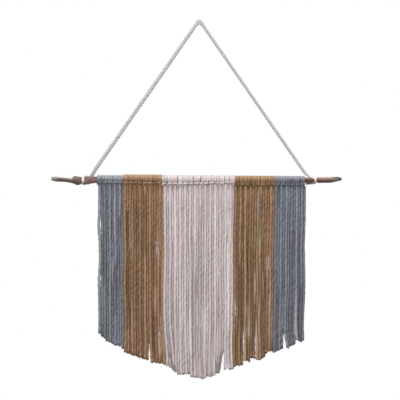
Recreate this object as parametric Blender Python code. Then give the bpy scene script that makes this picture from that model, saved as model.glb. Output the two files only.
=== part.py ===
"""Macrame wall hanging: cotton cords tied on a natural stick that hangs by a twisted rope.

Metres, +Z up.  The origin is the point where the rope bears on its hook, the stick lies
along X, and the front faces -Y.  Every cord is folded in half and tied with a lark's head:
up the front of the stick, over it, down the back, and across in front of its own ends.
"""

import math
import random
from collections import namedtuple

import bmesh
import bpy
from mathutils import Matrix, Vector

MM = 0.001

# Driving sizes
STICK_DROP = 311.5 * MM  # from the hook down to the stick's axis
STICK_FORWARD = 8.0 * MM  # the stick's axis in front of the hook
GAP = 0.3 * MM  # between pieces that touch
STRAND_HALF = 3.1 * MM  # half a hanging strand, corner to corner
STRAND_FORWARD = 5.0 * MM  # the fringe in front of the stick's axis
STAGGER = 1.6 * MM  # every other strand hangs this far behind or in front
STRAND_SPACING_LEAST = 3.6 * MM
WRAP_HALF = 2.0 * MM  # half the thickness of a cord pulled round the stick
BAR_HALF = 1.9 * MM
ROPE_RADIUS = 3.7 * MM
ROPE_GROOVE = 0.80  # radius between two plies, as a share of the rope's radius
ROPE_LAY = 26.0 * MM  # length of one full turn of the three plies
ROPE_STEP = ROPE_LAY / 9
STICK_SIDES = 14
BUD_WIDTH = 0.55  # radians round the stick
WRAP_STEP = math.radians(40)
WRAP_START = math.radians(-22)
WRAP_RINGS = 8
DIP = 0.35 * MM  # how unevenly the bars lie

# The bands from left to right, in millimetres across the stick
Band = namedtuple("Band", "name colour cords left right")
BANDS = (
    Band("blue_left", "blue_grey", 5, -204.6, -152.2),
    Band("ochre_left", "ochre", 8, -152.2, -74.8),
    Band("cream", "cream", 14, -74.8, 71.0),
    Band("ochre_right", "ochre", 8, 71.0, 152.4),
    Band("blue_right", "blue_grey", 6, 152.4, 211.0),
)

# The stick's sections in millimetres: place, height of its centre, radius
Section = namedtuple("Section", "across rise radius")
STICK = (
    Section(-296.4, 3.0, 2.4),
    Section(-294.6, 2.8, 4.0),
    Section(-286.6, 2.0, 4.9),
    Section(-274.0, 0.9, 4.6),
    Section(-263.0, 0.0, 4.6),
    Section(-257.0, -0.9, 5.0),
    Section(-254.2, -1.1, 5.3),
    Section(-252.6, 0.2, 7.4),
    Section(-250.8, 0.2, 7.9),
    Section(-247.4, -0.6, 8.3),
    Section(-243.6, -1.0, 8.3),
    Section(-240.2, -1.2, 7.8),
    Section(-238.0, -1.1, 7.3),
    Section(-236.4, -0.9, 5.2),
    Section(-228.8, -0.7, 5.2),
    Section(-227.4, -0.6, 7.3),
    Section(-218.4, -0.3, 7.1),
    Section(-213.0, 0.0, 6.8),
    Section(-206.0, 0.5, 6.4),
    Section(-120.0, 0.4, 6.3),
    Section(0.0, 0.1, 6.1),
    Section(110.0, 0.0, 5.8),
    Section(211.6, -0.2, 5.4),
    Section(213.8, 0.0, 5.8),
    Section(228.4, 0.1, 5.8),
    Section(229.2, 0.0, 4.7),
    Section(235.8, 0.0, 4.7),
    Section(236.6, 0.1, 5.8),
    Section(258.0, 0.1, 5.9),
    Section(265.0, 0.4, 5.7),
    Section(272.0, 1.3, 5.1),
    Section(277.0, 2.0, 4.6),
    Section(283.4, 1.9, 3.1),
    Section(285.2, 1.9, 1.5),
)

# Buds on the bark: place in millimetres, direction round the stick, height and length
Bud = namedtuple("Bud", "across angle height length")
BUDS = (
    Bud(-243.6, -95.0, 1.0, 4.4),
    Bud(-223.0, -90.0, 1.9, 2.6),
)

# The trimmed line of the fringe in millimetres: place across, drop below the stick's axis
Trim = namedtuple("Trim", "across drop")
TRIM = (
    Trim(-206.0, 304.0),
    Trim(-193.0, 316.0),
    Trim(-180.0, 325.0),
    Trim(-166.0, 332.5),
    Trim(-153.0, 337.0),
    Trim(-151.0, 344.0),
    Trim(-128.0, 352.0),
    Trim(-104.0, 361.0),
    Trim(-73.0, 370.0),
    Trim(-52.0, 382.0),
    Trim(-38.0, 389.5),
    Trim(-16.0, 394.5),
    Trim(5.0, 396.0),
    Trim(28.0, 393.5),
    Trim(40.0, 388.0),
    Trim(52.0, 379.0),
    Trim(65.0, 377.0),
    Trim(84.0, 370.0),
    Trim(100.0, 362.0),
    Trim(119.0, 361.0),
    Trim(131.0, 355.0),
    Trim(142.0, 343.0),
    Trim(152.0, 345.0),
    Trim(165.0, 336.0),
    Trim(177.0, 337.0),
    Trim(194.0, 326.5),
    Trim(204.0, 323.0),
    Trim(211.0, 316.0),
)

# How far the fringe has drifted sideways at its foot, in millimetres
Drift = namedtuple("Drift", "across shift")
DRIFTS = (
    Drift(-206.0, -1.0),
    Drift(-152.0, 0.0),
    Drift(-75.0, 5.0),
    Drift(0.0, 1.0),
    Drift(71.0, -4.0),
    Drift(152.0, -6.0),
    Drift(211.0, -1.0),
)

# Partings in the fringe in millimetres: place, width at the foot, where it starts, reach
Parting = namedtuple("Parting", "across opening start reach")
PARTINGS = (
    Parting(-98.0, 4.6, 290.0, 17.0),
    Parting(-78.0, 1.4, 240.0, 12.0),
    Parting(47.4, 6.0, 310.0, 17.0),
    Parting(88.4, 1.8, 270.0, 12.0),
    Parting(113.4, 1.6, 260.0, 12.0),
    Parting(167.0, 5.4, 280.0, 17.0),
    Parting(194.4, 1.8, 210.0, 12.0),
)

# Depths below the stick's axis at which the hanging strands have a ring, in millimetres
LEVELS = (13.0, 115.0, 210.0, 290.0, 345.0, 400.0)

# How unevenly the strands hang, in millimetres: sideways, in depth and where they are cut
LEAN = 1.1
WAVE = (0.2, 0.6)
WAVE_DROP = 38.0
SWAY = 0.9
SWAY_ACROSS = 45.0
CUT = 1.6
SHORTEST_END = 3.0  # a strand has no ring closer than this above its cut end

# The strand's neck behind the bar in millimetres: height above the stick's underside, how
# far it is moved and widened from the run that it leads to, and half its depth
Neck = namedtuple("Neck", "above outward wider half_out")
NECK = (
    Neck(-3.4, 0.15, 0.1, 2.4),
    Neck(0.4, 0.0, 0.0, 2.2),
)

# The bar from its root under the stick to its middle: inward is a share of the way to the
# middle, forward and above are millimetres from the stick's front and underside, turn is the
# section's direction in degrees, and wide multiplies the width of the run that it comes from
Bend = namedtuple("Bend", "inward forward above turn wide")
BAR = (
    Bend(0.0, -0.2, -1.4, 0.0, 1.0),
    Bend(0.0, 2.3, 0.1, 0.0, 1.0),
    Bend(0.13, 4.3, 0.8, 45.0, 1.15),
    Bend(0.5, 5.0, 1.0, 90.0, 1.6),
)

# The rope's route in millimetres.  The hitches are measured from the stick's axis, with
# +Y to the back.  Where it is pulled round the stick, in a notch in the bark, the rope is
# pressed flat and drawn narrow: flat and narrow multiply its thickness and its width.
Hitch = namedtuple("Hitch", "across back rise flat narrow", defaults=(1.0,))
LEFT_HITCH = (
    Hitch(-203.7, 10.2, 28.6, 1.0),
    Hitch(-210.4, 10.8, 19.0, 1.0),
    Hitch(-216.2, 11.4, 10.0, 1.0),
    Hitch(-221.6, 11.6, 2.6, 0.9),
    Hitch(-227.0, 10.0, -3.6, 0.6, 0.9),
    Hitch(-230.8, 6.8, -7.2, 0.42, 0.8),
    Hitch(-232.6, 2.2, -7.6, 0.28, 0.74),
    Hitch(-232.6, -2.6, -6.3, 0.22, 0.74),
    Hitch(-232.6, -5.7, -3.4, 0.22, 0.74),
    Hitch(-232.6, -6.7, 0.4, 0.22, 0.74),
    Hitch(-232.6, -5.4, 4.0, 0.22, 0.74),
    Hitch(-232.6, -2.2, 6.4, 0.22, 0.74),
    Hitch(-232.2, 2.4, 7.4, 0.28, 0.74),
    Hitch(-231.2, 7.6, 7.4, 0.45, 0.8),
    Hitch(-229.6, 12.6, 7.0, 0.7, 0.9),
    Hitch(-226.4, 17.0, 5.8, 0.9),
    Hitch(-220.4, 19.6, 3.8, 0.95),
    Hitch(-214.4, 19.0, 2.4, 1.0),
    Hitch(-209.6, 17.4, 1.6, 1.0),
)
RIGHT_HITCH = (
    Hitch(202.0, 9.4, 29.2, 1.0),
    Hitch(208.9, 8.6, 19.2, 1.0),
    Hitch(214.0, 6.6, 12.8, 0.9),
    Hitch(219.2, 3.8, 9.0, 0.6),
    Hitch(224.6, 1.2, 8.0, 0.42, 0.9),
    Hitch(229.4, -1.8, 7.4, 0.34, 0.8),
    Hitch(231.9, -4.3, 4.6, 0.24, 0.76),
    Hitch(232.5, -6.0, 0.6, 0.22, 0.76),
    Hitch(232.3, -4.9, -3.6, 0.22, 0.76),
    Hitch(231.2, -2.0, -6.8, 0.3, 0.8),
    Hitch(228.2, 0.8, -8.0, 0.42, 0.9),
    Hitch(222.8, 2.2, -8.0, 0.45),
    Hitch(217.4, 3.0, -8.0, 0.48),
    Hitch(213.4, 3.8, -8.0, 0.5),
)

# Where the rope bends over its hook, in millimetres to each side and below the top, and how
# far its plies pile up in the bend, as a share of their thickness
Crown = namedtuple("Crown", "across fall pile")
CROWN = (
    Crown(0.0, 0.0, 1.6),
    Crown(4.0, 3.4, 1.3),
    Crown(9.0, 9.9, 1.0),
)
LEG_PARTS = 8  # the straight stretches between the hitches and the hook
CURVE_PARTS = 16  # steps of the smooth curve between two points of the route

# Base colours, linear
COLOURS = {
    "blue_grey": (0.190, 0.200, 0.235),
    "ochre": (0.300, 0.180, 0.095),
    "cream": (0.640, 0.565, 0.540),
    "bark": (0.150, 0.088, 0.066),
    "rope": (0.560, 0.520, 0.500),
}

Ring = namedtuple("Ring", "centre side out half_side half_out")


def clear_scene():
    for old in list(bpy.data.objects):
        bpy.data.objects.remove(old, do_unlink=True)


def material(name, roughness):
    """A matt surface in one of the base colours."""
    made = bpy.data.materials.new(name)
    made.use_nodes = True
    shader = made.node_tree.nodes["Principled BSDF"]
    shader.inputs["Base Color"].default_value = (*COLOURS[name], 1.0)
    shader.inputs["Roughness"].default_value = roughness
    shader.inputs["Metallic"].default_value = 0.0
    return made


def along(table, column, across):
    """A column of a table, read at a place across in millimetres."""
    if across <= table[0].across:
        return getattr(table[0], column)
    for low, high in zip(table, table[1:]):
        if across <= high.across:
            share = (across - low.across) / (high.across - low.across)
            return getattr(low, column) * (1 - share) + getattr(high, column) * share
    return getattr(table[-1], column)


def stick_axis(across):
    """The stick's centre at a place across in millimetres."""
    rise = along(STICK, "rise", across) * MM
    return Vector((across * MM, -STICK_FORWARD, rise - STICK_DROP))


def body(name, loops, surface):
    """A closed body through loops of equally many points, with a flat face at each end."""
    shape = bmesh.new()
    rows = [[shape.verts.new(point) for point in loop] for loop in loops]
    for near, far in zip(rows, rows[1:]):
        for i in range(len(near)):
            j = (i + 1) % len(near)
            shape.faces.new((near[i], near[j], far[j], far[i])).smooth = True
    shape.faces.new(rows[0][::-1])
    shape.faces.new(rows[-1])
    bmesh.ops.recalc_face_normals(shape, faces=shape.faces)
    mesh = bpy.data.meshes.new(name)
    shape.to_mesh(mesh)
    shape.free()
    mesh.materials.append(surface)
    made = bpy.data.objects.new(name, mesh)
    bpy.context.scene.collection.objects.link(made)
    return made


# --- The stick ---------------------------------------------------------------------------


def bud_height(across, angle):
    """How far the buds stand out of the bark at a place and a direction in radians."""
    height = 0.0
    for bud in BUDS:
        along_stick = (across - bud.across) / bud.length
        turned = math.remainder(angle - math.radians(bud.angle), 2 * math.pi)
        height += bud.height * MM * math.exp(-(along_stick**2) - (turned / BUD_WIDTH) ** 2)
    return height


def build_stick(surface):
    loops = []
    for section in STICK:
        axis = stick_axis(section.across)
        loop = []
        for i in range(STICK_SIDES):
            angle = 2 * math.pi * i / STICK_SIDES
            reach = section.radius * MM + bud_height(section.across, angle)
            loop.append(axis + reach * Vector((0, math.cos(angle), math.sin(angle))))
        loops.append(loop)
    return body("stick", loops, surface)


# --- The fringe --------------------------------------------------------------------------


def knot_places():
    """(band, number in the band, pitch, centre) of every knot, left to right, in mm."""
    places = []
    for band in BANDS:
        pitch = (band.right - band.left) / band.cords
        for i in range(band.cords):
            places.append((band, i + 1, pitch, band.left + pitch * (i + 0.5)))
    return places


def parted(across, drop):
    """The sideways shift that the partings give a strand at a depth, in millimetres."""
    shift = 0.0
    for parting in PARTINGS:
        depth = along(TRIM, "drop", parting.across) - parting.start
        share = min(max((drop - parting.start) / depth, 0.0), 1.25)
        away = across - parting.across
        push = 0.5 * parting.opening * share * math.exp(-abs(away) / parting.reach)
        shift += math.copysign(push, away)
    return shift


def settled(places, least):
    """The same places pushed apart until none lies nearer than least to the next."""
    places = list(places)
    for _ in places:
        for i in range(len(places) - 1):
            lack = least - (places[i + 1] - places[i])
            if lack > 0:
                places[i] -= lack / 2
                places[i + 1] += lack / 2
    return places


def hanging_strands():
    """For each strand, left to right: its place across at every level, and its length."""
    dice = random.Random(11)
    tops = []
    for _, _, pitch, centre in knot_places():
        tops += [centre - pitch / 4, centre + pitch / 4]
    leans = [dice.uniform(-LEAN, LEAN) for _ in tops]
    waves = [dice.uniform(*WAVE) for _ in tops]
    phases = [dice.uniform(0, 2 * math.pi) for _ in tops]
    cuts = [dice.uniform(-CUT, CUT) for _ in tops]
    rows = []
    for drop in LEVELS:
        share = drop / LEVELS[-1]
        row = []
        for top, lean, wave, phase in zip(tops, leans, waves, phases):
            place = top + along(DRIFTS, "shift", top) * share**1.5 + lean * share
            place += wave * share**0.5 * math.sin(drop / WAVE_DROP + phase)
            row.append(place + parted(place, drop))
        rows.append(settled(row, STRAND_SPACING_LEAST / MM))
    strands = []
    for i, cut in enumerate(cuts):
        places = [row[i] for row in rows]
        strands.append((places, along(TRIM, "drop", places[-2]) + cut))
    return strands


def strand_rings(places, length, behind):
    """Rings of one hanging strand, from its cut end up to just below the knot."""
    stops = [(drop, place) for drop, place in zip(LEVELS, places) if drop < length - SHORTEST_END]
    last, nextdown = len(stops) - 1, len(stops)
    share = (length - LEVELS[last]) / (LEVELS[nextdown] - LEVELS[last])
    stops.append((length, places[last] * (1 - share) + places[nextdown] * share))
    rings = []
    for drop, place in reversed(stops):
        sway = SWAY * math.sin(place / SWAY_ACROSS) * drop / LEVELS[-1]
        back = -STICK_FORWARD - STRAND_FORWARD + sway * MM + behind
        centre = Vector((place * MM, back, -STICK_DROP - drop * MM))
        rings.append(Ring(centre, Vector((1, 0, 0)), Vector((0, 1, 0)), STRAND_HALF, STRAND_HALF))
    return rings


# --- The knots ---------------------------------------------------------------------------


def half_knot(pitch, radius, dip):
    """Rings of a knot's left half round an axis at the origin, from neck to the bar's middle."""
    wrap = pitch / 4
    pinch = (pitch / 2 - 2 * GAP) / 4  # four runs lie side by side under the stick
    strand = GAP / 2 + pinch
    leg = pitch / 2 - GAP / 2 - pinch
    seat = (radius + GAP) / math.cos(WRAP_STEP / 2)
    across, back, up = Vector((1, 0, 0)), Vector((0, 1, 0)), Vector((0, 0, 1))

    rings = []
    for row in NECK:
        centre = Vector((-strand - row.outward * MM, -radius - GAP, row.above * MM - radius))
        rings.append(Ring(centre, across, back, pinch + row.wider * MM, row.half_out * MM))

    wraps = [(wrap, wrap - GAP / 2, WRAP_HALF)] * WRAP_RINGS
    wraps[0] = ((strand + 3 * wrap) / 4, (pinch + 3 * wrap) / 4 - 0.4 * GAP, 0.8 * WRAP_HALF)
    wraps[-2] = ((wrap + leg) / 2, (wrap + pinch) / 2 - GAP / 4, WRAP_HALF)
    wraps[-1] = (leg, pinch, WRAP_HALF)
    for i, (place, half, thick) in enumerate(wraps):
        angle = WRAP_START + i * WRAP_STEP
        out = Vector((0, -math.cos(angle), math.sin(angle)))
        rings.append(Ring(-place * across + out * (seat + thick), across, -out, half, thick))

    for bend in BAR:
        turn = math.radians(bend.turn)
        side = Vector((math.cos(turn), math.sin(turn), 0))
        height = bend.above * MM - radius - dip
        centre = Vector((leg * (bend.inward - 1), -radius - bend.forward * MM, height))
        rings.append(Ring(centre, side, up, pinch * bend.wide, BAR_HALF))
    return rings


def mirrored(ring):
    def flip(v):
        return Vector((-v.x, v.y, v.z))

    return ring._replace(centre=flip(ring.centre), side=flip(ring.side), out=flip(ring.out))


def corners(ring):
    side = ring.side * ring.half_side
    out = ring.out * ring.half_out
    return [ring.centre + side, ring.centre + out, ring.centre - side, ring.centre - out]


def build_cord(name, pitch, centre, strands, dip, surface):
    """One folded cord: left strand, lark's head, right strand."""
    axis = stick_axis(centre)
    radius = along(STICK, "radius", centre) * MM
    knot = half_knot(pitch * MM, radius, dip)
    left = [ring._replace(centre=ring.centre + axis) for ring in knot]
    right = [
        ring._replace(centre=ring.centre + axis) for ring in reversed([mirrored(r) for r in knot])
    ]
    down_left = strand_rings(*strands[0], -STAGGER)
    down_right = [mirrored(r)._replace(centre=r.centre) for r in strand_rings(*strands[1], STAGGER)]
    rings = down_left + left + right + down_right[::-1]
    return body(name, [corners(ring) for ring in rings], surface)


def build_cords(surfaces):
    dice = random.Random(5)
    strands = hanging_strands()
    for i, (band, number, pitch, centre) in enumerate(knot_places()):
        dip = dice.uniform(-DIP, DIP)
        pair = strands[2 * i : 2 * i + 2]
        name = f"cord_{band.name}_{number:02d}"
        build_cord(name, pitch, centre, pair, dip, surfaces[band.colour])


# --- The hanging rope --------------------------------------------------------------------


def rope_route():
    """Points of the rope's middle from its left end to its right, each with its thickness
    and its width as shares of the round rope's."""

    def placed(hitch):
        axis = stick_axis(hitch.across)
        spot = axis + Vector((0, hitch.back * MM, hitch.rise * MM))
        return spot, (hitch.flat, hitch.narrow)

    def over_hook(row, hand):
        top = ROPE_RADIUS * CROWN[0].pile
        return Vector((hand * row.across * MM, 0.0, top - row.fall * MM)), (row.pile, 1.0)

    left = [placed(hitch) for hitch in reversed(LEFT_HITCH)]
    right = [placed(hitch) for hitch in RIGHT_HITCH]
    crown = [over_hook(row, -1) for row in reversed(CROWN)]
    crown += [over_hook(row, 1) for row in CROWN[1:]]
    legs = []
    for near, far in ((left[-1], crown[0]), (crown[-1], right[0])):
        stops = [i / LEG_PARTS for i in range(1, LEG_PARTS)]
        legs.append([(near[0].lerp(far[0], stop), (1.0, 1.0)) for stop in stops])
    return left + legs[0] + crown + legs[1] + right


def between(near, far, share):
    return tuple(a * (1 - share) + b * share for a, b in zip(near, far))


def smooth_curve(points, step):
    """Evenly spaced points on a smooth curve through the given ones, each with its shares."""
    fine = []
    padded = [points[0], *points, points[-1]]
    for a, b, c, d in zip(padded, padded[1:], padded[2:], padded[3:]):
        for i in range(CURVE_PARTS):
            t = i / CURVE_PARTS
            spot = 0.5 * (
                2 * b[0]
                + (c[0] - a[0]) * t
                + (2 * a[0] - 5 * b[0] + 4 * c[0] - d[0]) * t * t
                + (3 * b[0] - a[0] - 3 * c[0] + d[0]) * t**3
            )
            fine.append((spot, between(b[1], c[1], t)))
    fine.append(points[-1])
    lengths = [0.0]
    for near, far in zip(fine, fine[1:]):
        lengths.append(lengths[-1] + (far[0] - near[0]).length)
    count = round(lengths[-1] / step)
    even = []
    i = 0
    for k in range(count + 1):
        reach = lengths[-1] * k / count
        while i < len(fine) - 2 and lengths[i + 1] < reach:
            i += 1
        share = (reach - lengths[i]) / max(lengths[i + 1] - lengths[i], 1e-9)
        spot = fine[i][0].lerp(fine[i + 1][0], min(share, 1.0))
        even.append((spot, between(fine[i][1], fine[i + 1][1], share)))
    return even


def build_rope(surface):
    """Three plies as a six-point section that turns along the route."""
    route = smooth_curve(rope_route(), ROPE_STEP)
    side = Vector((0, 1, 0))
    loops = []
    for i, (spot, (flat, narrow)) in enumerate(route):
        ahead = (route[min(i + 1, len(route) - 1)][0] - route[max(i - 1, 0)][0]).normalized()
        side = (side - ahead * side.dot(ahead)).normalized()
        axis = stick_axis(spot.x / MM)
        away = Vector((0, spot.y - axis.y, spot.z - axis.z)).normalized()
        press = Matrix.Scale(flat, 3, away) @ Matrix.Scale(narrow, 3, away.cross(ahead))
        turn = 2 * math.pi * i * ROPE_STEP / ROPE_LAY
        loop = []
        for k in range(6):
            reach = ROPE_RADIUS * (ROPE_GROOVE if k % 2 else 1.0)
            angle = turn + k * math.pi / 3
            offset = reach * (math.cos(angle) * side + math.sin(angle) * ahead.cross(side))
            loop.append(spot + press @ offset)
        loops.append(loop)
    return body("hanging_rope", loops, surface)


clear_scene()
build_stick(material("bark", 0.8))
build_cords({name: material(name, 0.9) for name in ("blue_grey", "ochre", "cream")})
build_rope(material("rope", 0.9))
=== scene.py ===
"""Looks of a macrame wall hanging: cotton cords knotted on a natural stick, hung by a rope.

Metres, +Z up.  The origin is where the rope bears on its hook, the stick lies along X, and
the front faces -Y.  Tables of places are in millimetres, as a maker would measure them.
"""

import math
import random
from collections import namedtuple

import bmesh
import bpy
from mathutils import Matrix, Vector, noise


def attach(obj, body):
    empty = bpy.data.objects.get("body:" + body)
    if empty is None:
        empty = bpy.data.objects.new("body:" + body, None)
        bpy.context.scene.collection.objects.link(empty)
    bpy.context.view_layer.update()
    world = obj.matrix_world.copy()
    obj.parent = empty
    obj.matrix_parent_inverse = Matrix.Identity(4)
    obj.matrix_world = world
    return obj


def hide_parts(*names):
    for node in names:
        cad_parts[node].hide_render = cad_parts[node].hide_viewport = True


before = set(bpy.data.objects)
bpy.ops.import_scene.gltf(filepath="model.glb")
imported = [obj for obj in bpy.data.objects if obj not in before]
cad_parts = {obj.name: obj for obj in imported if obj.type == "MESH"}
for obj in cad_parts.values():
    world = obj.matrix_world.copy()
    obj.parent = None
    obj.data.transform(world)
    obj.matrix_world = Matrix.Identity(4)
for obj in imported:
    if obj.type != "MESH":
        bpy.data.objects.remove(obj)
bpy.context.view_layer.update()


# --- The camera and the room ---------------------------------------------------------------
# The hanging is seen face on, from across a white room.  Soft daylight comes from above and
# both sides in front, and weaker from behind, and the white walls give light back from all
# round.  The floor is pale and plain.

VIEW_WIDTH = 0.800  # across the frame, at the fringe
VIEW_CENTRE = Vector((0.0014, -0.013, -0.3515))
VIEW_DISTANCE = 3.0
SENSOR = 36.0  # width of the camera's sensor, in millimetres
WALL_GLOW = 0.36  # light that comes back from the wall in front of the hanging
DIM_GLOW = 0.34  # and from the one behind it
DAYLIGHT = (1.0, 0.99, 0.98)
FLOOR_DROP = 1.15  # from the hook down
FLOOR_HALF = 1.6
FLOOR_PALE = (0.8, 0.8, 0.8, 1.0)
FLOOR_ROUGHNESS = 0.9

scene = bpy.context.scene
scene.view_settings.view_transform = "Standard"


class Wire:
    """One output of a node.  Arithmetic on it adds Math nodes."""

    def __init__(self, graph, socket):
        self.graph = graph
        self.socket = socket

    def maths(self, operation, *values):
        """What a Math node makes of some values."""
        return self.graph.node("ShaderNodeMath", {"operation": operation}, dict(enumerate(values)))

    def through(self, operation):
        """What a Math node of one value makes of this output."""
        return self.maths(operation, self)

    def __add__(self, other):
        return self.maths("ADD", self, other)

    def __sub__(self, other):
        return self.maths("SUBTRACT", self, other)

    def __rsub__(self, other):
        return self.maths("SUBTRACT", other, self)

    def __mul__(self, other):
        return self.maths("MULTIPLY", self, other)

    def __truediv__(self, other):
        return self.maths("DIVIDE", self, other)

    __radd__ = __add__
    __rmul__ = __mul__

    def other(self, name):
        """Another output of the same node."""
        return Wire(self.graph, self.socket.node.outputs[name])


class Graph:
    """A node tree, with one way to add any node to it."""

    def __init__(self, tree):
        self.tree = tree

    def node(self, kind, settings, sockets, output=0):
        made = self.tree.nodes.new(kind)
        for name, value in settings.items():
            setattr(made, name, value)
        for name, value in sockets.items():
            if isinstance(value, Wire):
                self.tree.links.new(value.socket, made.inputs[name])
            else:
                made.inputs[name].default_value = value
        return Wire(self, made.outputs[output]) if made.outputs else None

    def vector(self, operation, *values):
        return self.node("ShaderNodeVectorMath", {"operation": operation}, dict(enumerate(values)))

    def mix(self, share, first, second, way="MIX"):
        """Two colours mixed by a share."""
        settings = {"data_type": "RGBA", "blend_type": way}
        return self.node("ShaderNodeMix", settings, {0: share, 6: first, 7: second}, 2)


def rgb(red, green, blue):
    """A colour as a node's socket takes it."""
    return (red, green, blue, 1.0)


white_room = bpy.data.worlds.new("white_room")
scene.world = white_room
white_room.use_nodes = True
room = Graph(white_room.node_tree)
room.tree.nodes.clear()
seen = room.node("ShaderNodeLightPath", {}, {}, "Is Camera Ray")
towards = room.node("ShaderNodeTexCoord", {}, {}, "Generated")
behind = room.node("ShaderNodeSeparateXYZ", {}, {0: towards}, "Y") * 0.5 + 0.5
glow = WALL_GLOW + behind * (DIM_GLOW - WALL_GLOW)
glow = glow + seen * (1.0 - glow)  # the camera sees the walls as plain white
walls = room.node("ShaderNodeBackground", {}, {"Color": rgb(1.0, 1.0, 1.0), "Strength": glow})
room.node("ShaderNodeOutputWorld", {}, {"Surface": walls})

eye = bpy.data.cameras.new("eye")
eye.sensor_width = SENSOR
eye.lens = SENSOR * VIEW_DISTANCE / VIEW_WIDTH
camera = bpy.data.objects.new("camera", eye)
camera.location = VIEW_CENTRE - Vector((0, VIEW_DISTANCE, 0))
camera.rotation_euler = (math.pi / 2, 0, 0)
scene.collection.objects.link(camera)
scene.camera = camera


def softbox(name, place, size, power):
    """A large square lamp that faces the middle of the hanging."""
    lamp = bpy.data.lights.new(name, "AREA")
    lamp.size = size
    lamp.energy = power
    lamp.color = DAYLIGHT
    made = bpy.data.objects.new(name, lamp)
    made.location = place
    made.rotation_euler = (VIEW_CENTRE - Vector(place)).to_track_quat("-Z", "Y").to_euler()
    scene.collection.objects.link(made)


softbox("ceiling_light", (-0.10, -1.20, 1.25), size=1.2, power=24.0)
softbox("left_window", (-1.20, -1.10, 0.30), size=0.9, power=8.0)
softbox("right_window", (1.20, -1.10, 0.30), size=0.9, power=8.4)
softbox("back_light", (0.10, 1.20, 1.25), size=1.2, power=12.0)

floor_shape = bmesh.new()
bmesh.ops.create_grid(floor_shape, x_segments=1, y_segments=1, size=FLOOR_HALF)
bmesh.ops.translate(floor_shape, verts=floor_shape.verts, vec=(0, 0, -FLOOR_DROP))
floor_mesh = bpy.data.meshes.new("floor")
floor_shape.to_mesh(floor_mesh)
floor_shape.free()
floor = bpy.data.objects.new("floor", floor_mesh)
scene.collection.objects.link(floor)
pale_floor = bpy.data.materials.new("pale_floor")
pale_floor.use_nodes = True
floor_sockets = pale_floor.node_tree.nodes["Principled BSDF"].inputs
floor_sockets["Base Color"].default_value = FLOOR_PALE
floor_sockets["Roughness"].default_value = FLOOR_ROUGHNESS
floor_mesh.materials.append(pale_floor)


# --- The stick -------------------------------------------------------------------------------
# A natural branch about 12 mm thick with its bark on, cut at both ends.  It is lofted through
# uneven rings, with a knob and two buds at the left, a low bud at the right, furrows along the
# bark and a slanted right tip.

MM = 0.001
STICK_DROP = 311.5 * MM  # from the hook down to the stick's axis
STICK_FORWARD = 8.0 * MM  # the stick's axis in front of the hook

# Sections of the stick, in millimetres: place across, how far its middle has risen, and radius
Section = namedtuple("Section", "across rise radius")
STICK = (
    Section(-296.4, 3.0, 2.4),
    Section(-294.6, 2.8, 4.0),
    Section(-286.6, 2.0, 4.9),
    Section(-274.0, 0.9, 4.6),
    Section(-263.0, 0.0, 4.6),
    Section(-257.0, -0.9, 5.0),
    Section(-254.2, -1.1, 5.3),
    Section(-252.6, 0.2, 7.4),
    Section(-250.8, 0.2, 7.9),
    Section(-247.4, -0.6, 8.3),
    Section(-243.6, -1.0, 8.3),
    Section(-240.2, -1.2, 7.8),
    Section(-236.0, -1.0, 7.2),
    Section(-235.4, -0.9, 5.9),
    Section(-229.9, -0.7, 5.9),
    Section(-229.2, -0.6, 7.3),
    Section(-218.4, -0.3, 7.1),
    Section(-213.0, 0.0, 6.8),
    Section(-206.0, 0.5, 6.4),
    Section(-120.0, 0.4, 6.3),
    Section(0.0, 0.1, 6.1),
    Section(110.0, 0.0, 5.8),
    Section(211.6, -0.2, 5.4),
    Section(213.8, 0.0, 5.8),
    Section(228.4, 0.1, 5.8),
    Section(229.2, 0.0, 4.7),
    Section(235.8, 0.0, 4.7),
    Section(236.6, 0.1, 5.8),
    Section(258.0, 0.1, 5.9),
    Section(265.0, 0.4, 5.7),
    Section(272.0, 1.3, 5.1),
    Section(277.0, 2.0, 4.6),
    Section(283.4, 1.9, 3.1),
    Section(285.2, 1.9, 1.5),
)

# Buds: the angle starts behind the stick and runs over its top, and the width is in radians
Bud = namedtuple("Bud", "across angle height length width")
BUDS = (
    Bud(-243.6, -95.0, 1.0, 4.4, 0.55),
    Bud(-223.0, -90.0, 1.9, 2.2, 0.42),
    Bud(248.0, 200.0, 0.8, 3.0, 0.40),
)
STICK_SIDES = 56
STICK_STEP = 1.1  # millimetres between two rings of the bark
SMOOTHING = 0.8  # millimetres over which the sections are rounded into each other
FULL_BARK = 4.0  # the radius from which on the bark has its full relief
KNOB = (-246.0, 7.0)  # middle and reach of the rough knob

# Unevenness of the bark: how far it stands out, how long it is, and how fine round the stick
Grain = namedtuple("Grain", "height length fineness")
FURROWS = Grain(0.30, 26.0, 2.3)
LUMPS = Grain(0.55, 3.4, 1.7)  # on the knob
SPECKS = Grain(0.12, 1.7, 3.5)
FURROW_LAYERS = (0.9, 2.0, 4)  # how fast they grow lower, how much finer each is, how many
FURROW_TWIST = 0.012  # radians that the furrows turn round the stick in a millimetre


def along(table, column, across):
    """A column of a table, read at a place across in millimetres."""
    if across <= table[0].across:
        return getattr(table[0], column)
    for low, high in zip(table, table[1:]):
        if across <= high.across:
            share = (across - low.across) / (high.across - low.across)
            return getattr(low, column) * (1 - share) + getattr(high, column) * share
    return getattr(table[-1], column)


def smoothly(table, column, across, reach):
    """The same, averaged over five places up to a reach to both sides."""
    steps = [across + reach * i / 2 for i in range(-2, 3)]
    return sum(along(table, column, step) for step in steps) / len(steps)


def stick_axis(across):
    """The stick's centre at a place across in millimetres."""
    return Vector((across * MM, -STICK_FORWARD, along(STICK, "rise", across) * MM - STICK_DROP))


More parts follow.
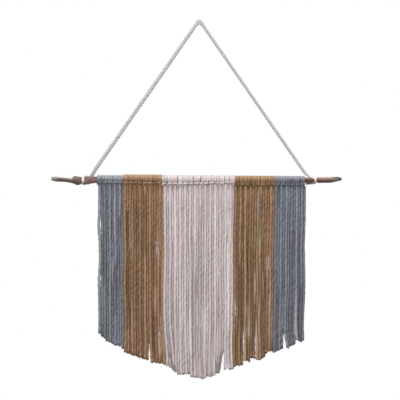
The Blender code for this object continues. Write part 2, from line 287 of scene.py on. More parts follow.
def bark_height(across, angle):
    """How far the bark stands out at a place and direction, in millimetres."""

    def spot(grain, turned=0.0):
        around = Vector((0, math.cos(angle + turned), math.sin(angle + turned)))
        return Vector((across / grain.length, 0, 0)) + around * grain.fineness

    height = 0.0
    for bud in BUDS:
        turned = math.remainder(angle - math.radians(bud.angle), 2 * math.pi)
        away = ((across - bud.across) / bud.length) ** 2 + (turned / bud.width) ** 2
        height += bud.height * math.exp(-away)
    furrows = noise.fractal(spot(FURROWS, across * FURROW_TWIST), *FURROW_LAYERS)
    rough = math.exp(-(((across - KNOB[0]) / KNOB[1]) ** 2))
    height += FURROWS.height * furrows + LUMPS.height * rough * noise.noise(spot(LUMPS))
    return height + SPECKS.height * noise.noise(spot(SPECKS))


def lofted(name, loops, surface):
    """A closed mesh through loops of equally many points, with a flat face at each end."""
    shape = bmesh.new()
    rows = [[shape.verts.new(point) for point in loop] for loop in loops]
    for near, far in zip(rows, rows[1:]):
        for i in range(len(near)):
            j = (i + 1) % len(near)
            shape.faces.new((near[i], near[j], far[j], far[i])).smooth = True
    shape.faces.new(rows[0][::-1])
    shape.faces.new(rows[-1])
    bmesh.ops.recalc_face_normals(shape, faces=shape.faces)
    mesh = bpy.data.meshes.new(name)
    shape.to_mesh(mesh)
    shape.free()
    mesh.materials.append(surface)
    made = bpy.data.objects.new(name, mesh)
    scene.collection.objects.link(made)
    return made


def new_finish(name, roughness, shine):
    """A material of one shader, with a graph to paint it through."""
    made = bpy.data.materials.new(name)
    made.use_nodes = True
    graph = Graph(made.node_tree)
    shader = made.node_tree.nodes["Principled BSDF"]
    shader.inputs["Roughness"].default_value = roughness
    shader.inputs["Specular IOR Level"].default_value = shine
    return made, graph, shader


def paint(graph, shader, colour, height, depth):
    """Joins a colour and a height, in metres of relief, to the shader."""
    relief = graph.node(
        "ShaderNodeBump", {}, {"Strength": 1.0, "Distance": depth, "Height": height}, "Normal"
    )
    graph.tree.links.new(colour.socket, shader.inputs["Base Color"])
    graph.tree.links.new(relief.socket, shader.inputs["Normal"])


def carried(graph, name, output="Fac"):
    """A value that the mesh carries from point to point."""
    return graph.node("ShaderNodeAttribute", {"attribute_name": name}, {}, output)


def speckle(where, scale, detail):
    """Noise between 0 and 1."""
    sockets = {"Vector": where, "Scale": scale, "Detail": detail}
    return where.graph.node("ShaderNodeTexNoise", {}, sockets, "Fac")


def ramp(value, low, high):
    """0 at low and 1 at high, even between them and level beyond them."""
    sockets = {"Value": value, "From Min": low, "From Max": high}
    return value.graph.node("ShaderNodeMapRange", {"clamp": True}, sockets)


BARK_RED = rgb(0.212, 0.116, 0.110)
BARK_RUSSET = rgb(0.290, 0.150, 0.125)
BARK_BROWN = rgb(0.172, 0.122, 0.112)
BARK_DARK = rgb(0.042, 0.024, 0.018)
BARK_PALE = rgb(0.330, 0.270, 0.245)
# painted light, where light falls on top of the bark
LIT_BARK_TOP = rgb(0.560, 0.480, 0.400)
PEELED = rgb(0.380, 0.375, 0.345)
WEATHERED = rgb(0.170, 0.155, 0.128)
# painted shade on the bark's underside, at the left and at the right
LEFT_UNDERSIDE_SHADE = rgb(0.062, 0.045, 0.028)
RIGHT_UNDERSIDE_SHADE = rgb(0.078, 0.036, 0.029)
HEARTWOOD = rgb(0.030, 0.028, 0.024)
BARK_RELIEF = 0.5 * MM

# Where along the stick its colours change, in metres
LEFT_TOP = (-0.290, -0.256)
LEFT_KNOB = (-0.290, -0.241)
LEFT_BELOW = (-0.290, -0.243)
LEFT_CUT = (-0.274, -0.287)  # from bark to bare wood
RIGHT_TOP = (0.205, 0.268)
RIGHT_BELOW = (0.205, 0.275)
RIGHT_CUT = (0.268, 0.280)
FADE = 0.008  # beyond the ends of a stretch
RAGGED = 0.012  # how unevenly the bark gives way at the cuts
PITH = (0.2815, -STICK_DROP + 2.0 * MM)  # across and up, in the right end's cut
PITH_EDGE = (2.8 * MM, 1.4 * MM)
PATCHY = 0.9  # how much the painted light on top of the bark and the painted shade below it run into each other


def bark_finish():
    """Red-brown bark with furrows, painted light on top and painted shade below, and grey where it
    is cut.
    """
    made, graph, shader = new_finish("bark", roughness=0.78, shine=0.3)
    place = graph.node("ShaderNodeTexCoord", {}, {}, "Object")
    across = graph.node("ShaderNodeSeparateXYZ", {}, {0: place}, "X")
    lengthwise = graph.vector("MULTIPLY", place, (0.16, 1.0, 1.0))
    crosswise = graph.vector("MULTIPLY", place, (1.0, 0.2, 0.2))
    streaks = speckle(lengthwise, scale=420.0, detail=5.0)
    patches = speckle(lengthwise, scale=95.0, detail=3.0)
    fibres = speckle(lengthwise, scale=1500.0, detail=4.0)
    bands = speckle(crosswise, scale=260.0, detail=3.0)

    def stretch(low, high):
        """1 between two places across, and 0 away from them."""
        return ramp(across, low - FADE, low) * ramp(across, high + FADE, high)

    # how far the bark faces up, with a ragged edge: its painted light lies above, its painted shade
    # below
    uneven = carried(graph, "upward") + PATCHY * patches - PATCHY / 2
    top = ramp(uneven, 0.50, 0.85)
    below = ramp(uneven, 0.35, -0.20)
    ragged = across + patches * RAGGED
    away = graph.node("ShaderNodeCombineXYZ", {}, {"X": PITH[0], "Y": 0.0, "Z": PITH[1]})
    away = graph.vector("MULTIPLY", graph.vector("SUBTRACT", place, away), (1.0, 0.0, 1.0))
    away = graph.node("ShaderNodeVectorMath", {"operation": "LENGTH"}, {0: away}, "Value")
    colour = graph.mix(ramp(patches, 0.42, 0.60), BARK_BROWN, BARK_RED)

    # Coats over it, one on another: where each lies, how strong it is, and its colour
    coats = (
        (stretch(*RIGHT_TOP), 0.7, BARK_RUSSET),
        (stretch(*LEFT_KNOB), 0.85, BARK_BROWN),
        (ramp(streaks, 0.50, 0.68), 0.35, BARK_PALE),
        (ramp(streaks, 0.46, 0.34), 0.45, BARK_DARK),
        (ramp(bands, 0.60, 0.72), 0.35, BARK_DARK),
        # painted light on the bark's top, and painted shade on its underside
        (top * (stretch(*LEFT_TOP) + stretch(*RIGHT_TOP)), 0.8, LIT_BARK_TOP),
        (below * stretch(*LEFT_BELOW), 0.55, LEFT_UNDERSIDE_SHADE),
        (below * stretch(*RIGHT_BELOW), 0.9, RIGHT_UNDERSIDE_SHADE),
        (ramp(ragged, *LEFT_CUT) * ramp(uneven, -0.6, 0.2), 0.8, PEELED),
        (ramp(ragged, *RIGHT_CUT), 0.85, WEATHERED),
        (ramp(away, *PITH_EDGE), 0.9, HEARTWOOD),
    )
    for where, strength, coat in coats:
        colour = graph.mix(where * strength, colour, coat)
    paint(graph, shader, colour, streaks * 0.6 + fibres * 0.4, BARK_RELIEF)
    return made


count = round((STICK[-1].across - STICK[0].across) / STICK_STEP)
bark_loops = []
for i in range(count + 1):
    across = STICK[0].across + (STICK[-1].across - STICK[0].across) * i / count
    radius = smoothly(STICK, "radius", across, SMOOTHING)
    rise = smoothly(STICK, "rise", across, SMOOTHING)
    middle = Vector((across * MM, -STICK_FORWARD, rise * MM - STICK_DROP))
    loop = []
    for k in range(STICK_SIDES):
        angle = 2 * math.pi * k / STICK_SIDES
        reach = (radius + bark_height(across, angle) * min(1.0, radius / FULL_BARK)) * MM
        loop.append(middle + reach * Vector((0, math.cos(angle), math.sin(angle))))
    bark_loops.append(loop)
branch = lofted("branch", bark_loops, bark_finish())
# how far each point of the bark faces up, which its painted light and shade follow
upward = [math.sin(2 * math.pi * k / STICK_SIDES) for _ in bark_loops for k in range(STICK_SIDES)]
branch.data.attributes.new("upward", "FLOAT", "POINT").data.foreach_set("value", upward)
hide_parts("stick")
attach(branch, "root")


# --- The folded cords ------------------------------------------------------------------------
# Three-ply cotton cord, each length folded in half and tied on with a lark's head: up the
# front of the stick, over it, down the back, and across in front of its own two strands.
# Five bands of colour hang side by side, and the fringe is trimmed to a shallow point.

STRAND_FORWARD = 5.0  # millimetres from the stick's axis to the fringe
STAGGER = 1.7  # the strands hang this far in front and behind by turns
CORD_RADIUS = 3.05
CORD_LAY = 17.5 * MM  # one full turn of the plies
CORD_GROOVE = 0.11  # depth of the groove between two plies, of the radius
CORD_STEP = 1.25 * MM  # between two rings of the finished cord
CORD_SIDES = 12
FAT_PLY = 0.08  # how much one ply stands out beyond the others, of the radius
WAVER = 1.7 * MM  # how far the hanging cord strays sideways, from side to side
SWELL = 0.15  # how much its thickness varies
WAVERS = 70.0  # of the cord's waver and swell, in a metre
UNEVEN_TWIST = 0.12  # of a turn
UNEVEN_RINGS = 3.1  # over which the twist gets ahead or falls behind
LAY_SPREAD = 0.25  # how much tighter some cords are twisted than others
UNLIKE = 90.0  # how far apart two cords lie in the noise, so that no two are alike
TONE_RINGS = 11  # to each side of a cord's middle, where its halves' two tones meet
GAP = 0.1  # between cords side by side in a knot
MOST_CORDS = 8  # in one piece

# The bands of colour, from border to border
Band = namedtuple("Band", "name colour cords left right")
BANDS = (
    Band("blue_left", "blue_grey", 5, -204.6, -152.2),
    Band("ochre_left", "ochre", 8, -152.2, -74.8),
    Band("cream", "cream", 14, -74.8, 71.0),
    Band("ochre_right", "ochre", 8, 71.0, 152.4),
    Band("blue_right", "blue_grey", 6, 152.4, 211.0),
)

# The line along which the fringe is trimmed, and how far it lies below the stick's axis
Trim = namedtuple("Trim", "across drop")
TRIM = (
    Trim(-206.0, 303.0),
    Trim(-201.0, 305.0),
    Trim(-198.0, 311.5),
    Trim(-189.0, 317.0),
    Trim(-184.0, 323.0),
    Trim(-176.0, 326.0),
    Trim(-168.0, 331.5),
    Trim(-160.0, 332.0),
    Trim(-153.0, 336.5),
    Trim(-151.5, 343.5),
    Trim(-129.0, 351.5),
    Trim(-115.0, 356.0),
    Trim(-102.6, 361.0),
    Trim(-96.0, 365.0),
    Trim(-84.0, 365.0),
    Trim(-71.5, 370.0),
    Trim(-64.5, 371.6),
    Trim(-58.0, 377.0),
    Trim(-48.0, 383.0),
    Trim(-42.0, 389.5),
    Trim(-31.0, 389.8),
    Trim(-28.0, 387.4),
    Trim(-23.0, 387.6),
    Trim(-19.0, 394.2),
    Trim(-2.0, 394.6),
    Trim(1.5, 398.5),
    Trim(8.0, 399.0),
    Trim(12.0, 392.2),
    Trim(24.0, 393.6),
    Trim(29.0, 393.4),
    Trim(33.0, 387.6),
    Trim(42.0, 387.4),
    Trim(49.0, 379.6),
    Trim(66.0, 379.2),
    Trim(72.0, 370.6),
    Trim(86.0, 370.4),
    Trim(89.0, 362.4),
    Trim(99.5, 362.8),
    Trim(102.5, 357.0),
    Trim(111.5, 356.8),
    Trim(115.0, 360.3),
    Trim(122.5, 360.2),
    Trim(127.0, 355.2),
    Trim(131.0, 354.4),
    Trim(134.0, 347.4),
    Trim(141.0, 342.2),
    Trim(147.0, 342.2),
    Trim(150.5, 345.6),
    Trim(165.5, 337.2),
    Trim(176.5, 336.6),
    Trim(183.0, 332.4),
    Trim(194.0, 327.0),
    Trim(196.5, 320.0),
    Trim(203.5, 323.6),
    Trim(210.5, 319.0),
)

# How far the borders between the bands have drifted sideways at three depths, in millimetres
Border = namedtuple("Border", "across top halfway foot")
BORDERS = (
    Border(-204.6, 2.6, 0.8, 0.8),
    Border(-152.2, 1.3, 1.2, 3.0),
    Border(-74.8, 3.6, 3.2, 3.4),
    Border(71.0, -1.0, -3.2, -3.8),
    Border(152.4, -1.5, -4.2, -6.2),
    Border(211.0, 2.6, 1.4, -1.6),
)
BORDER_DROPS = (15.0, 160.0, 330.0)

# Openings between strands: where they begin, where they are widest, and where they end.
# Those that end below the fringe are open at its foot.  The strands on their left make way
# by the share in the last column, and those on their right by the rest.
Opening = namedtuple("Opening", "across wide top widest foot leftward")
OPENINGS = (
    Opening(-198.2, 1.5, 60.0, 92.0, 125.0, 0.5),
    Opening(-198.2, 1.5, 176.0, 200.0, 226.0, 0.5),
    Opening(-98.0, 4.7, 308.0, 365.0, 480.0, 0.5),
    Opening(-83.4, 1.4, 104.0, 138.0, 172.0, 0.5),
    Opening(-86.4, 0.5, 212.0, 244.0, 280.0, 0.5),
    Opening(-78.2, 2.4, 262.0, 316.0, 366.0, 0.5),
    Opening(48.0, 8.4, 330.0, 385.0, 480.0, 0.85),
    Opening(57.0, 4.4, 342.0, 385.0, 480.0, 0.4),
    Opening(72.6, 1.4, 232.0, 262.0, 290.0, 0.5),
    Opening(88.6, 2.1, 288.0, 325.0, 480.0, 0.4),
    Opening(95.0, 0.9, 252.0, 284.0, 316.0, 0.5),
    Opening(114.0, 1.6, 272.0, 322.0, 480.0, 0.5),
    Opening(118.4, 0.2, 6.0, 40.0, 84.0, 0.5),
    Opening(120.4, 0.5, 244.0, 262.0, 284.0, 0.5),
    Opening(113.8, 0.4, 176.0, 208.0, 240.0, 0.5),
    Opening(138.0, 1.2, 146.0, 164.0, 190.0, 0.5),
    Opening(143.0, 0.4, 190.0, 208.0, 226.0, 0.5),
    Opening(168.0, 6.4, 292.0, 340.0, 480.0, 0.2),
    Opening(193.6, 1.2, 206.0, 300.0, 480.0, 0.5),
)
NARROW = 3.0  # the strands beside an opening narrower than this are painted paler, as light through it
SLIT_LIGHT = 0.25  # how much paler, as painted light
SLIT_LIGHT_REACH = (2.0, 4.6)  # how far to each side that painted light is even, and where it ends
OPENING_REACH = 2.2  # strands over which the push of an opening dies away

# Groups of strands that lean sideways at the foot, in front of their neighbours: the lean
# grows across the group from nothing at its first strand, and no strand past its last leans
Lean = namedtuple("Lean", "first last top foot shift")
LEANS = (
    Lean(-76.0, -56.5, 290.0, 385.0, 12.0),
    Lean(-196.0, -207.0, 250.0, 305.0, -1.8),
)
LEAN_FORWARD = 2.4
LEAN_SPREAD = 0.35  # the share of a lean that may pull neighbours apart

# Strands that are painted paler, some as light through a gap beside them, or lie in painted
# shade from their neighbours, over a part of their length: a slant is how far that part runs
# across on its way down, and its reach is half its width
Tint = namedtuple("Tint", "across top foot pale dark slant reach", defaults=(0.0, 2.6))
TINTS = (
    Tint(-197.0, 40.0, 190.0, 0.25, 0.0),
    Tint(-192.0, 204.0, 290.0, 0.30, 0.0),
    Tint(-188.0, 66.0, 190.0, 0.0, 0.25),
    Tint(-169.0, 20.0, 110.0, 0.15, 0.0),
    Tint(-166.2, 156.0, 260.0, 0.0, 0.70),
    Tint(-174.6, 150.0, 196.0, 0.35, 0.0),
    Tint(-160.8, 64.0, 170.0, 0.0, 0.70, 0.0, 2.0),
    Tint(-144.2, 50.0, 290.0, 0.0, 0.85),
    Tint(-135.6, 42.0, 150.0, 0.28, 0.0),
    Tint(-134.0, 230.0, 330.0, 0.28, 0.0),
    Tint(-127.6, 36.0, 130.0, 0.0, 0.40),
    Tint(-109.6, 16.0, 140.0, 0.0, 0.65),
    Tint(-92.0, 90.0, 340.0, 0.0, 0.45),
    Tint(-90.6, 230.0, 340.0, 0.0, 0.30),
    Tint(-84.2, 90.0, 190.0, 0.30, 0.0),
    Tint(-86.0, 200.0, 260.0, 0.20, 0.0),
    Tint(-78.4, 262.0, 340.0, 0.75, 0.0, 0.0, 3.0),
    Tint(-61.6, 14.0, 40.0, 0.7, 0.0),
    Tint(-54.6, 142.0, 176.0, 0.8, 0.0),
    Tint(-55.6, 190.0, 280.0, 0.0, 0.30),
    Tint(-53.6, 26.0, 80.0, 0.7, 0.0),
    Tint(-62.6, 296.0, 336.0, 0.0, 0.45),
    Tint(-43.6, 300.0, 350.0, 0.6, 0.0),
    Tint(-46.4, 20.0, 230.0, 0.75, 0.0),
    Tint(-33.6, 40.0, 140.0, 0.0, 0.22),
    Tint(-32.6, 150.0, 270.0, 0.5, 0.0),
    Tint(-16.6, 250.0, 340.0, 0.9, 0.0),
    Tint(-9.6, 86.0, 180.0, 0.6, 0.0),
    Tint(-7.8, 110.0, 350.0, 0.0, 0.70),
    Tint(-3.6, 230.0, 350.0, 0.7, 0.0),
    Tint(-3.6, 10.0, 90.0, 0.6, 0.0),
    Tint(2.4, 40.0, 350.0, 0.0, 0.45),
    Tint(12.4, 250.0, 350.0, 0.7, 0.0),
    Tint(34.4, 40.0, 200.0, 0.9, 0.0),
    Tint(35.6, 290.0, 350.0, 1.0, 0.0),
    Tint(44.4, 250.0, 330.0, 0.0, 0.30),
    Tint(57.6, 10.0, 290.0, 1.0, 0.0, 0.0, 3.0),
    Tint(-64.6, 330.0, 380.0, 0.0, 1.0, 15.6, 2.0),
    Tint(45.5, 330.0, 392.0, 0.0, 1.0, -9.5, 3.0),
    Tint(72.8, 230.0, 290.0, 0.35, 0.0),
    Tint(82.8, 160.0, 340.0, 0.0, 0.75),
    Tint(88.4, 290.0, 360.0, 0.60, 0.0),
    Tint(95.6, 240.0, 306.0, 1.0, 0.0, 0.0, 3.4),
    Tint(107.6, 130.0, 330.0, 0.0, 0.60),
    Tint(113.8, 160.0, 240.0, 0.60, 0.0),
    Tint(114.2, 270.0, 350.0, 0.60, 0.0),
    Tint(118.6, 12.0, 130.0, 0.50, 0.0),
    Tint(123.8, 20.0, 340.0, 0.0, 0.65),
    Tint(133.0, 140.0, 330.0, 0.0, 0.25),
    Tint(137.8, 146.0, 186.0, 0.40, 0.0),
    Tint(142.0, 220.0, 310.0, 0.35, 0.0),
    Tint(158.6, 40.0, 220.0, 0.25, 0.0),
    Tint(182.4, 110.0, 300.0, 0.0, 0.35),
    Tint(192.6, 16.0, 60.0, 0.22, 0.0),
    Tint(194.6, 210.0, 320.0, 0.25, 0.0),
    Tint(202.4, 200.0, 320.0, 0.0, 0.60),
)
TINT_FADE = 18.0  # over which a tint sets in below its top, and dies away below its foot

# How unevenly the strands hang, in millimetres.  A drop is a depth below the stick's axis.
SUNK_SHARE = 0.13  # of the strands, which slip behind their neighbours on the way down
SUNK_BACK = 3.6
SUNK_CLOSER = 0.30  # of the gap to each neighbour
SINKING_DROPS = (20.0, 210.0)
BREATH = 0.06  # how much the gaps between strands widen and narrow
BREATH_DROP = 42.0
CLUMP = 2.6  # how far strands drift together into clumps
CLUMP_ACROSS = 34.0
CLUMP_DROP = 95.0
CLUMP_SEED = 3.0
WAVE = (0.2, 0.7)  # how far each strand waves about its place
WAVE_DROP = 24.0
LOOSE_DROP = 120.0  # from which on the strands clump and wave freely
SWAY = 0.9  # how far the whole fringe sways in and out at its foot
SWAY_ACROSS = 45.0
CUT = 0.8  # how far a strand is cut above or below the trimmed line
THICKNESS = 0.04  # of the radius, more or less
FLUFFED = 0.07  # how much thicker the cord has grown at its cut end
LEAST_APART = 5.2  # two neighbours' middles, side by side or one behind the other
MOST_APART = 5.15  # side by side, outside the openings
MOST_BACK = 4.8
DRAWING_ROUNDS = 40
SETTLING_ROUNDS = 16
FOOT_DROP = 345.0  # near the foot of the fringe
DROPS = [13.0, 17.0, 22.0, 29.0] + [38.0 + 9.5 * i for i in range(40)]
STRAND_SEED = 11
KNOT_SEED = 5
TONE_SEED = 23

# The knot, in millimetres: how far the bar lies below the stick's axis, how thick the turns on
# the stick and the bar are, and how much painted shade lies on the bar and the foot of the turns
Seat = namedtuple("Seat", "across drop turn bar shade foot")
BAR_SEATS = (
    Seat(-204.0, 4.4, 1.6, 2.1, 0.1, 0.5),
    Seat(-154.0, 4.8, 1.6, 2.1, 0.1, 0.5),
    Seat(-150.0, 5.6, 2.4, 2.1, 0.15, 0.75),
    Seat(-76.0, 5.8, 2.4, 2.1, 0.15, 0.75),
    Seat(-72.0, 7.6, 2.0, 1.9, 0.08, 0.35),
    Seat(-36.0, 7.4, 2.0, 1.9, 0.08, 0.35),
    Seat(10.0, 6.2, 2.0, 1.9, 0.08, 0.35),
    Seat(70.0, 4.6, 2.0, 1.9, 0.08, 0.35),
    Seat(72.0, 8.6, 1.6, 1.7, 0.25, 0.5),
    Seat(152.0, 8.8, 1.6, 1.6, 0.35, 0.5),
    Seat(210.0, 8.2, 1.4, 1.6, 0.48, 0.75),
)
SEAT_DICE = 0.45  # how much higher or lower a bar may lie
TURN_WIDE = 1.14  # the turns press into each other on the stick
KNOT_GROOVE = 0.6  # of the usual groove, where the cord is pressed in the knot
BAR_GROOVE = 0.2

# The turn on the stick: it starts low on the front and goes over the top and down the back
WRAP_START = math.radians(-22)
WRAP_STEP = math.radians(20)
WRAP_RINGS = 17
WRAP_LEAN = 0.35  # how far a turn may lean aside
WRAP_PLAY = 0.2  # between a turn and the stick
PINCH_RINGS = 3  # at the turn's end, where it narrows to pass beside the other runs

# The neck, where a strand comes up from the fringe to behind its bar: how far below the bar
# and in front of the stick, how much wider than on the stick, and how thick it is there
NECK_SHADE = 0.18
BELOW_BAR = 0.20  # the shade on the strands below the bars
BELOW_DROPS = (12.0, 30.0)  # where that shade starts to fade, and where it ends
Neck = namedtuple("Neck", "below forward wider half groove shade")
NECK = (
    Neck(4.4, -0.2, 0.6, 2.6, 0.8, BELOW_BAR),
    Neck(2.2, 0.5, 0.5, 2.4, 0.7, NECK_SHADE),
)
PINCHED_HALF = 2.0  # half the cord's depth right behind its bar
PINCHED_OUT = 0.7  # how far it stands forward and aside there, and how much wider it spreads
SHANK_RISE = 2.7  # from the bar's middle up to where the cord has its full width again
SHANK_FORWARD = 1.2

# The bar's half, from below the stick to the middle: how far it has come inwards (a share),
# forward and up, how far it has turned (in degrees), and how wide the plies spread
Bend = namedtuple("Bend", "inward forward above turn wide")
BAR = (
    Bend(0.0, 1.4, -0.8, 0.0, 1.15),
    Bend(0.0, 3.2, -0.3, 0.0, 1.3),
    Bend(0.10, 4.4, -0.1, 45.0, 1.55),
    Bend(0.42, 4.7, 0.0, 85.0, 1.6),
    Bend(0.80, 4.7, 0.0, 90.0, 1.6),
)
BAR_SLANT = 0.4  # a bar's right end lies this much above its middle, and its left end below
SHADED_TURN = (math.radians(-22), math.radians(40))  # dark low on the front of the stick

# Dark slots where two turns on the stick stand apart
Slot = namedtuple("Slot", "across opening")
SLOTS = (
    Slot(-172.0, 1.8),
    Slot(-150.6, 1.4),
    Slot(-144.0, 2.5),
    Slot(-63.6, 1.4),
    Slot(-41.6, 3.0),
    Slot(-33.0, 1.5),
    Slot(-10.0, 2.1),
    Slot(2.2, 3.0),
    Slot(50.6, 2.3),
    Slot(60.0, 1.9),
    Slot(80.0, 1.6),
    Slot(122.0, 2.6),
    Slot(200.6, 2.6),
)
SLOT_REACH = 3.5  # over which the push of a slot dies away

# The plies spread a little where the cord is cut, and the cut end is painted darker, as shade
# under its tips: the height above the cut, the width and the grooves as shares of the usual ones,
# and the painted shade
Spread = namedtuple("Spread", "up wide groove cut")
CUT_END = (
    Spread(0.0, 0.78, 2.2, 1.0),
    Spread(0.5, 0.98, 2.2, 0.9),
    Spread(1.4, 1.08, 2.0, 0.7),
    Spread(3.4, 1.05, 1.4, 0.3),
)
CLEAR_OF_CUT = 4.0  # no other ring lies closer to the cut than this
CUT_SLANT = math.radians(20)

# A ring of a cord: its middle, the two directions across it and its half-widths along them
Ring = namedtuple("Ring", "centre side out half_side half_out groove dark pale", defaults=(0, 0))
HANGING_RINGS = (26, 32)  # from a cord's middle to where the knot ends and the strand hangs free


def smooth_share(value, low, high):
    """0 up to low, 1 from high on, and a smooth rise between."""
    share = min(max((value - low) / (high - low), 0.0), 1.0)
    return share * share * (3 - 2 * share)


def knot_places():
    """(band, number in the band, pitch, centre) of every knot, left to right."""
    places = []
    for band in BANDS:
        pitch = (band.right - band.left) / band.cords
        for i in range(band.cords):
            places.append((band, i + 1, pitch, band.left + pitch * (i + 0.5)))
    return places


def border_shift(across, drop):
    """How far a border between two bands has drifted sideways at a depth."""
    shifts = [along(BORDERS, column, across) for column in ("top", "halfway", "foot")]
    if drop < BORDER_DROPS[1]:
        share = smooth_share(drop, BORDER_DROPS[0], BORDER_DROPS[1])
        return shifts[0] * (1 - share) + shifts[1] * share
    share = smooth_share(drop, BORDER_DROPS[1], BORDER_DROPS[2])
    return shifts[1] * (1 - share) + shifts[2] * share


def spaced(band, drop, sunk, breaths):
    """Places across of one band's strands at a depth, closer to those that have sunk back."""
    left = band.left + border_shift(band.left, drop)
    right = band.right + border_shift(band.right, drop)
    share = smooth_share(drop, *SINKING_DROPS)
    gaps = []
    for near, far, breath in zip(sunk, sunk[1:], breaths):
        wide = 1 - SUNK_CLOSER * share * (near + far)
        gaps.append(wide * (1 + BREATH * share * math.sin(drop / BREATH_DROP + breath)))
    unit = (right - left) / (1 + sum(gaps))
    places = [left + unit / 2]
    for gap in gaps:
        places.append(places[-1] + gap * unit)
    return places


def open_at(opening, drop):
    """How wide an opening stands at a depth."""
    if drop < opening.widest:
        return opening.wide * smooth_share(drop, opening.top, opening.widest)
    return opening.wide * (1 - smooth_share(drop, opening.widest, opening.foot))


def leaning(lean, across, drop):
    """How far a strand takes part in a lean, from 0 to 1."""
    part = (across - lean.first) / (lean.last - lean.first)
    return part * smooth_share(drop, lean.top, lean.foot) if 0 < part < 1 else 0.0


def drawn_in(row, most):
    """Places across, drawn together where a gap is wider than it may be."""
    row = list(row)
    for _ in range(DRAWING_ROUNDS):
        for i, wide in enumerate(most):
            slack = max(row[i + 1] - row[i] - wide, 0.0)
            row[i] += slack / 2
            row[i + 1] -= slack / 2
    return row


def settled(row):
    """Places (across, back) pushed back and forth until neighbours no longer lie in each other."""
    row = [list(place) for place in row]
    for _ in range(SETTLING_ROUNDS):
        for near, far in zip(row, row[1:]):
            aside = min(far[0] - near[0], LEAST_APART)
            lack = math.sqrt(LEAST_APART**2 - max(aside, 0.0) ** 2) - abs(far[1] - near[1])
            if lack > 0:
                push = math.copysign(lack / 2, far[1] - near[1])
                near[1] = min(max(near[1] - push, -MOST_BACK), MOST_BACK)
                far[1] = min(max(far[1] + push, -MOST_BACK), MOST_BACK)
    return [Vector(place) for place in row]


def nearest(drop):
    """The number of the drop that lies nearest."""
    return min(range(len(DROPS)), key=lambda k: abs(DROPS[k] - drop))


def hanging_strands():
    """For each strand, left to right: its places (across, back) at all drops, its length, its
    thickness and the slant of its cut."""
    dice = random.Random(STRAND_SEED)
    sunk = []
    breaths = []
    for band in BANDS:
        for i in range(2 * band.cords):
            free = 0 < i < 2 * band.cords - 1 and not any(sunk[-2:])
            sunk.append(int(free and dice.random() < SUNK_SHARE / (1 - 2 * SUNK_SHARE)))
            breaths.append(dice.uniform(0, 2 * math.pi))
    total = len(sunk)
    rows = []
    for drop in DROPS:
        row = []
        for band in BANDS:
            own = slice(len(row), len(row) + 2 * band.cords)
            row += spaced(band, drop, sunk[own], breaths[own])
        rows.append(row)

    # The openings push the strands apart, and let the two beside them stand further apart
    most = [[MOST_APART] * (total - 1) for _ in DROPS]
    for opening in OPENINGS:
        level = rows[nearest(min(opening.widest, FOOT_DROP))]
        right_of = sum(place < opening.across for place in level)
        for k, drop in enumerate(DROPS):
            wide = open_at(opening, drop)
            most[k][right_of - 1] += wide
            for i in range(total):
                away = i - right_of + 0.5
                share = opening.leftward if away < 0 else 1 - opening.leftward
                push = share * wide * math.exp((0.5 - abs(away)) / OPENING_REACH)
                rows[k][i] += math.copysign(push, away)
    waves = [dice.uniform(*WAVE) for _ in range(total)]
    phases = [dice.uniform(0, 2 * math.pi) for _ in range(total)]
    turns = [dice.uniform(0, 2 * math.pi) for _ in range(total)]
    cuts = [dice.uniform(-CUT, CUT) for _ in range(total)]
    tops = rows[0]
    for k, drop in enumerate(DROPS):
        for lean in LEANS:
            for i in range(total - 1):
                apart = leaning(lean, tops[i + 1], drop) - leaning(lean, tops[i], drop)
                most[k][i] += LEAN_SPREAD * max(0.0, lean.shift * apart)

    # Each row of strands wavers, is drawn together, and is pushed back and forth until it fits
    hung = []
    for k, drop in enumerate(DROPS):
        share = drop / DROPS[-1]
        loose = smooth_share(drop, 0.0, LOOSE_DROP)
        sinking = smooth_share(drop, *SINKING_DROPS)
        row = []
        for i, place in enumerate(rows[k]):
            clump = noise.noise(Vector((place / CLUMP_ACROSS, drop / CLUMP_DROP, CLUMP_SEED)))
            across = place + CLUMP * loose * clump
            across += waves[i] * loose * math.sin(drop / WAVE_DROP + phases[i])
            row.append(across + sum(lean.shift * leaning(lean, tops[i], drop) for lean in LEANS))
        places = []
        for i, across in enumerate(drawn_in(row, most[k])):
            back = SWAY * math.sin(across / SWAY_ACROSS) * share + (STAGGER if i % 2 else -STAGGER)
            back += waves[i] * loose * math.cos(drop / WAVE_DROP + turns[i])
            back += (SUNK_BACK - back) * sunk[i] * sinking
            back -= LEAN_FORWARD * sum(leaning(lean, tops[i], drop) for lean in LEANS)
            places.append((across, back))
        hung.append(settled(places))
    foot = nearest(FOOT_DROP)
    strands = []
    for i, cut in enumerate(cuts):
        places = [row[i] for row in hung]
        thickness = CORD_RADIUS * (1 + THICKNESS * math.sin(2 * turns[i]))
        slant = CUT_SLANT * math.sin(3 * phases[i])
        strands.append((places, along(TRIM, "drop", places[foot].x) + cut, thickness, slant))
    return strands


def tinted(across, drop):
    """How pale and how dark a strand is painted at a place, from 0 to 1."""
    pale = dark = 0.0
    for opening in OPENINGS:
        if opening.wide < NARROW:
            beside = 1 - smooth_share(abs(across - opening.across), *SLIT_LIGHT_REACH)
            pale += SLIT_LIGHT * beside * open_at(opening, drop) / opening.wide
    for tint in TINTS:
        away = across - tint.across - tint.slant * (drop - tint.top) / (tint.foot - tint.top)
        share = smooth_share(drop, tint.top, tint.top + TINT_FADE)
        share *= 1 - smooth_share(drop, tint.foot, tint.foot + TINT_FADE)
        share *= 1 - smooth_share(abs(away), tint.reach / 2, tint.reach * 3 / 2)
        pale += share * tint.pale
        dark += share * tint.dark
    return min(pale, 1.0), min(dark, 1.0)


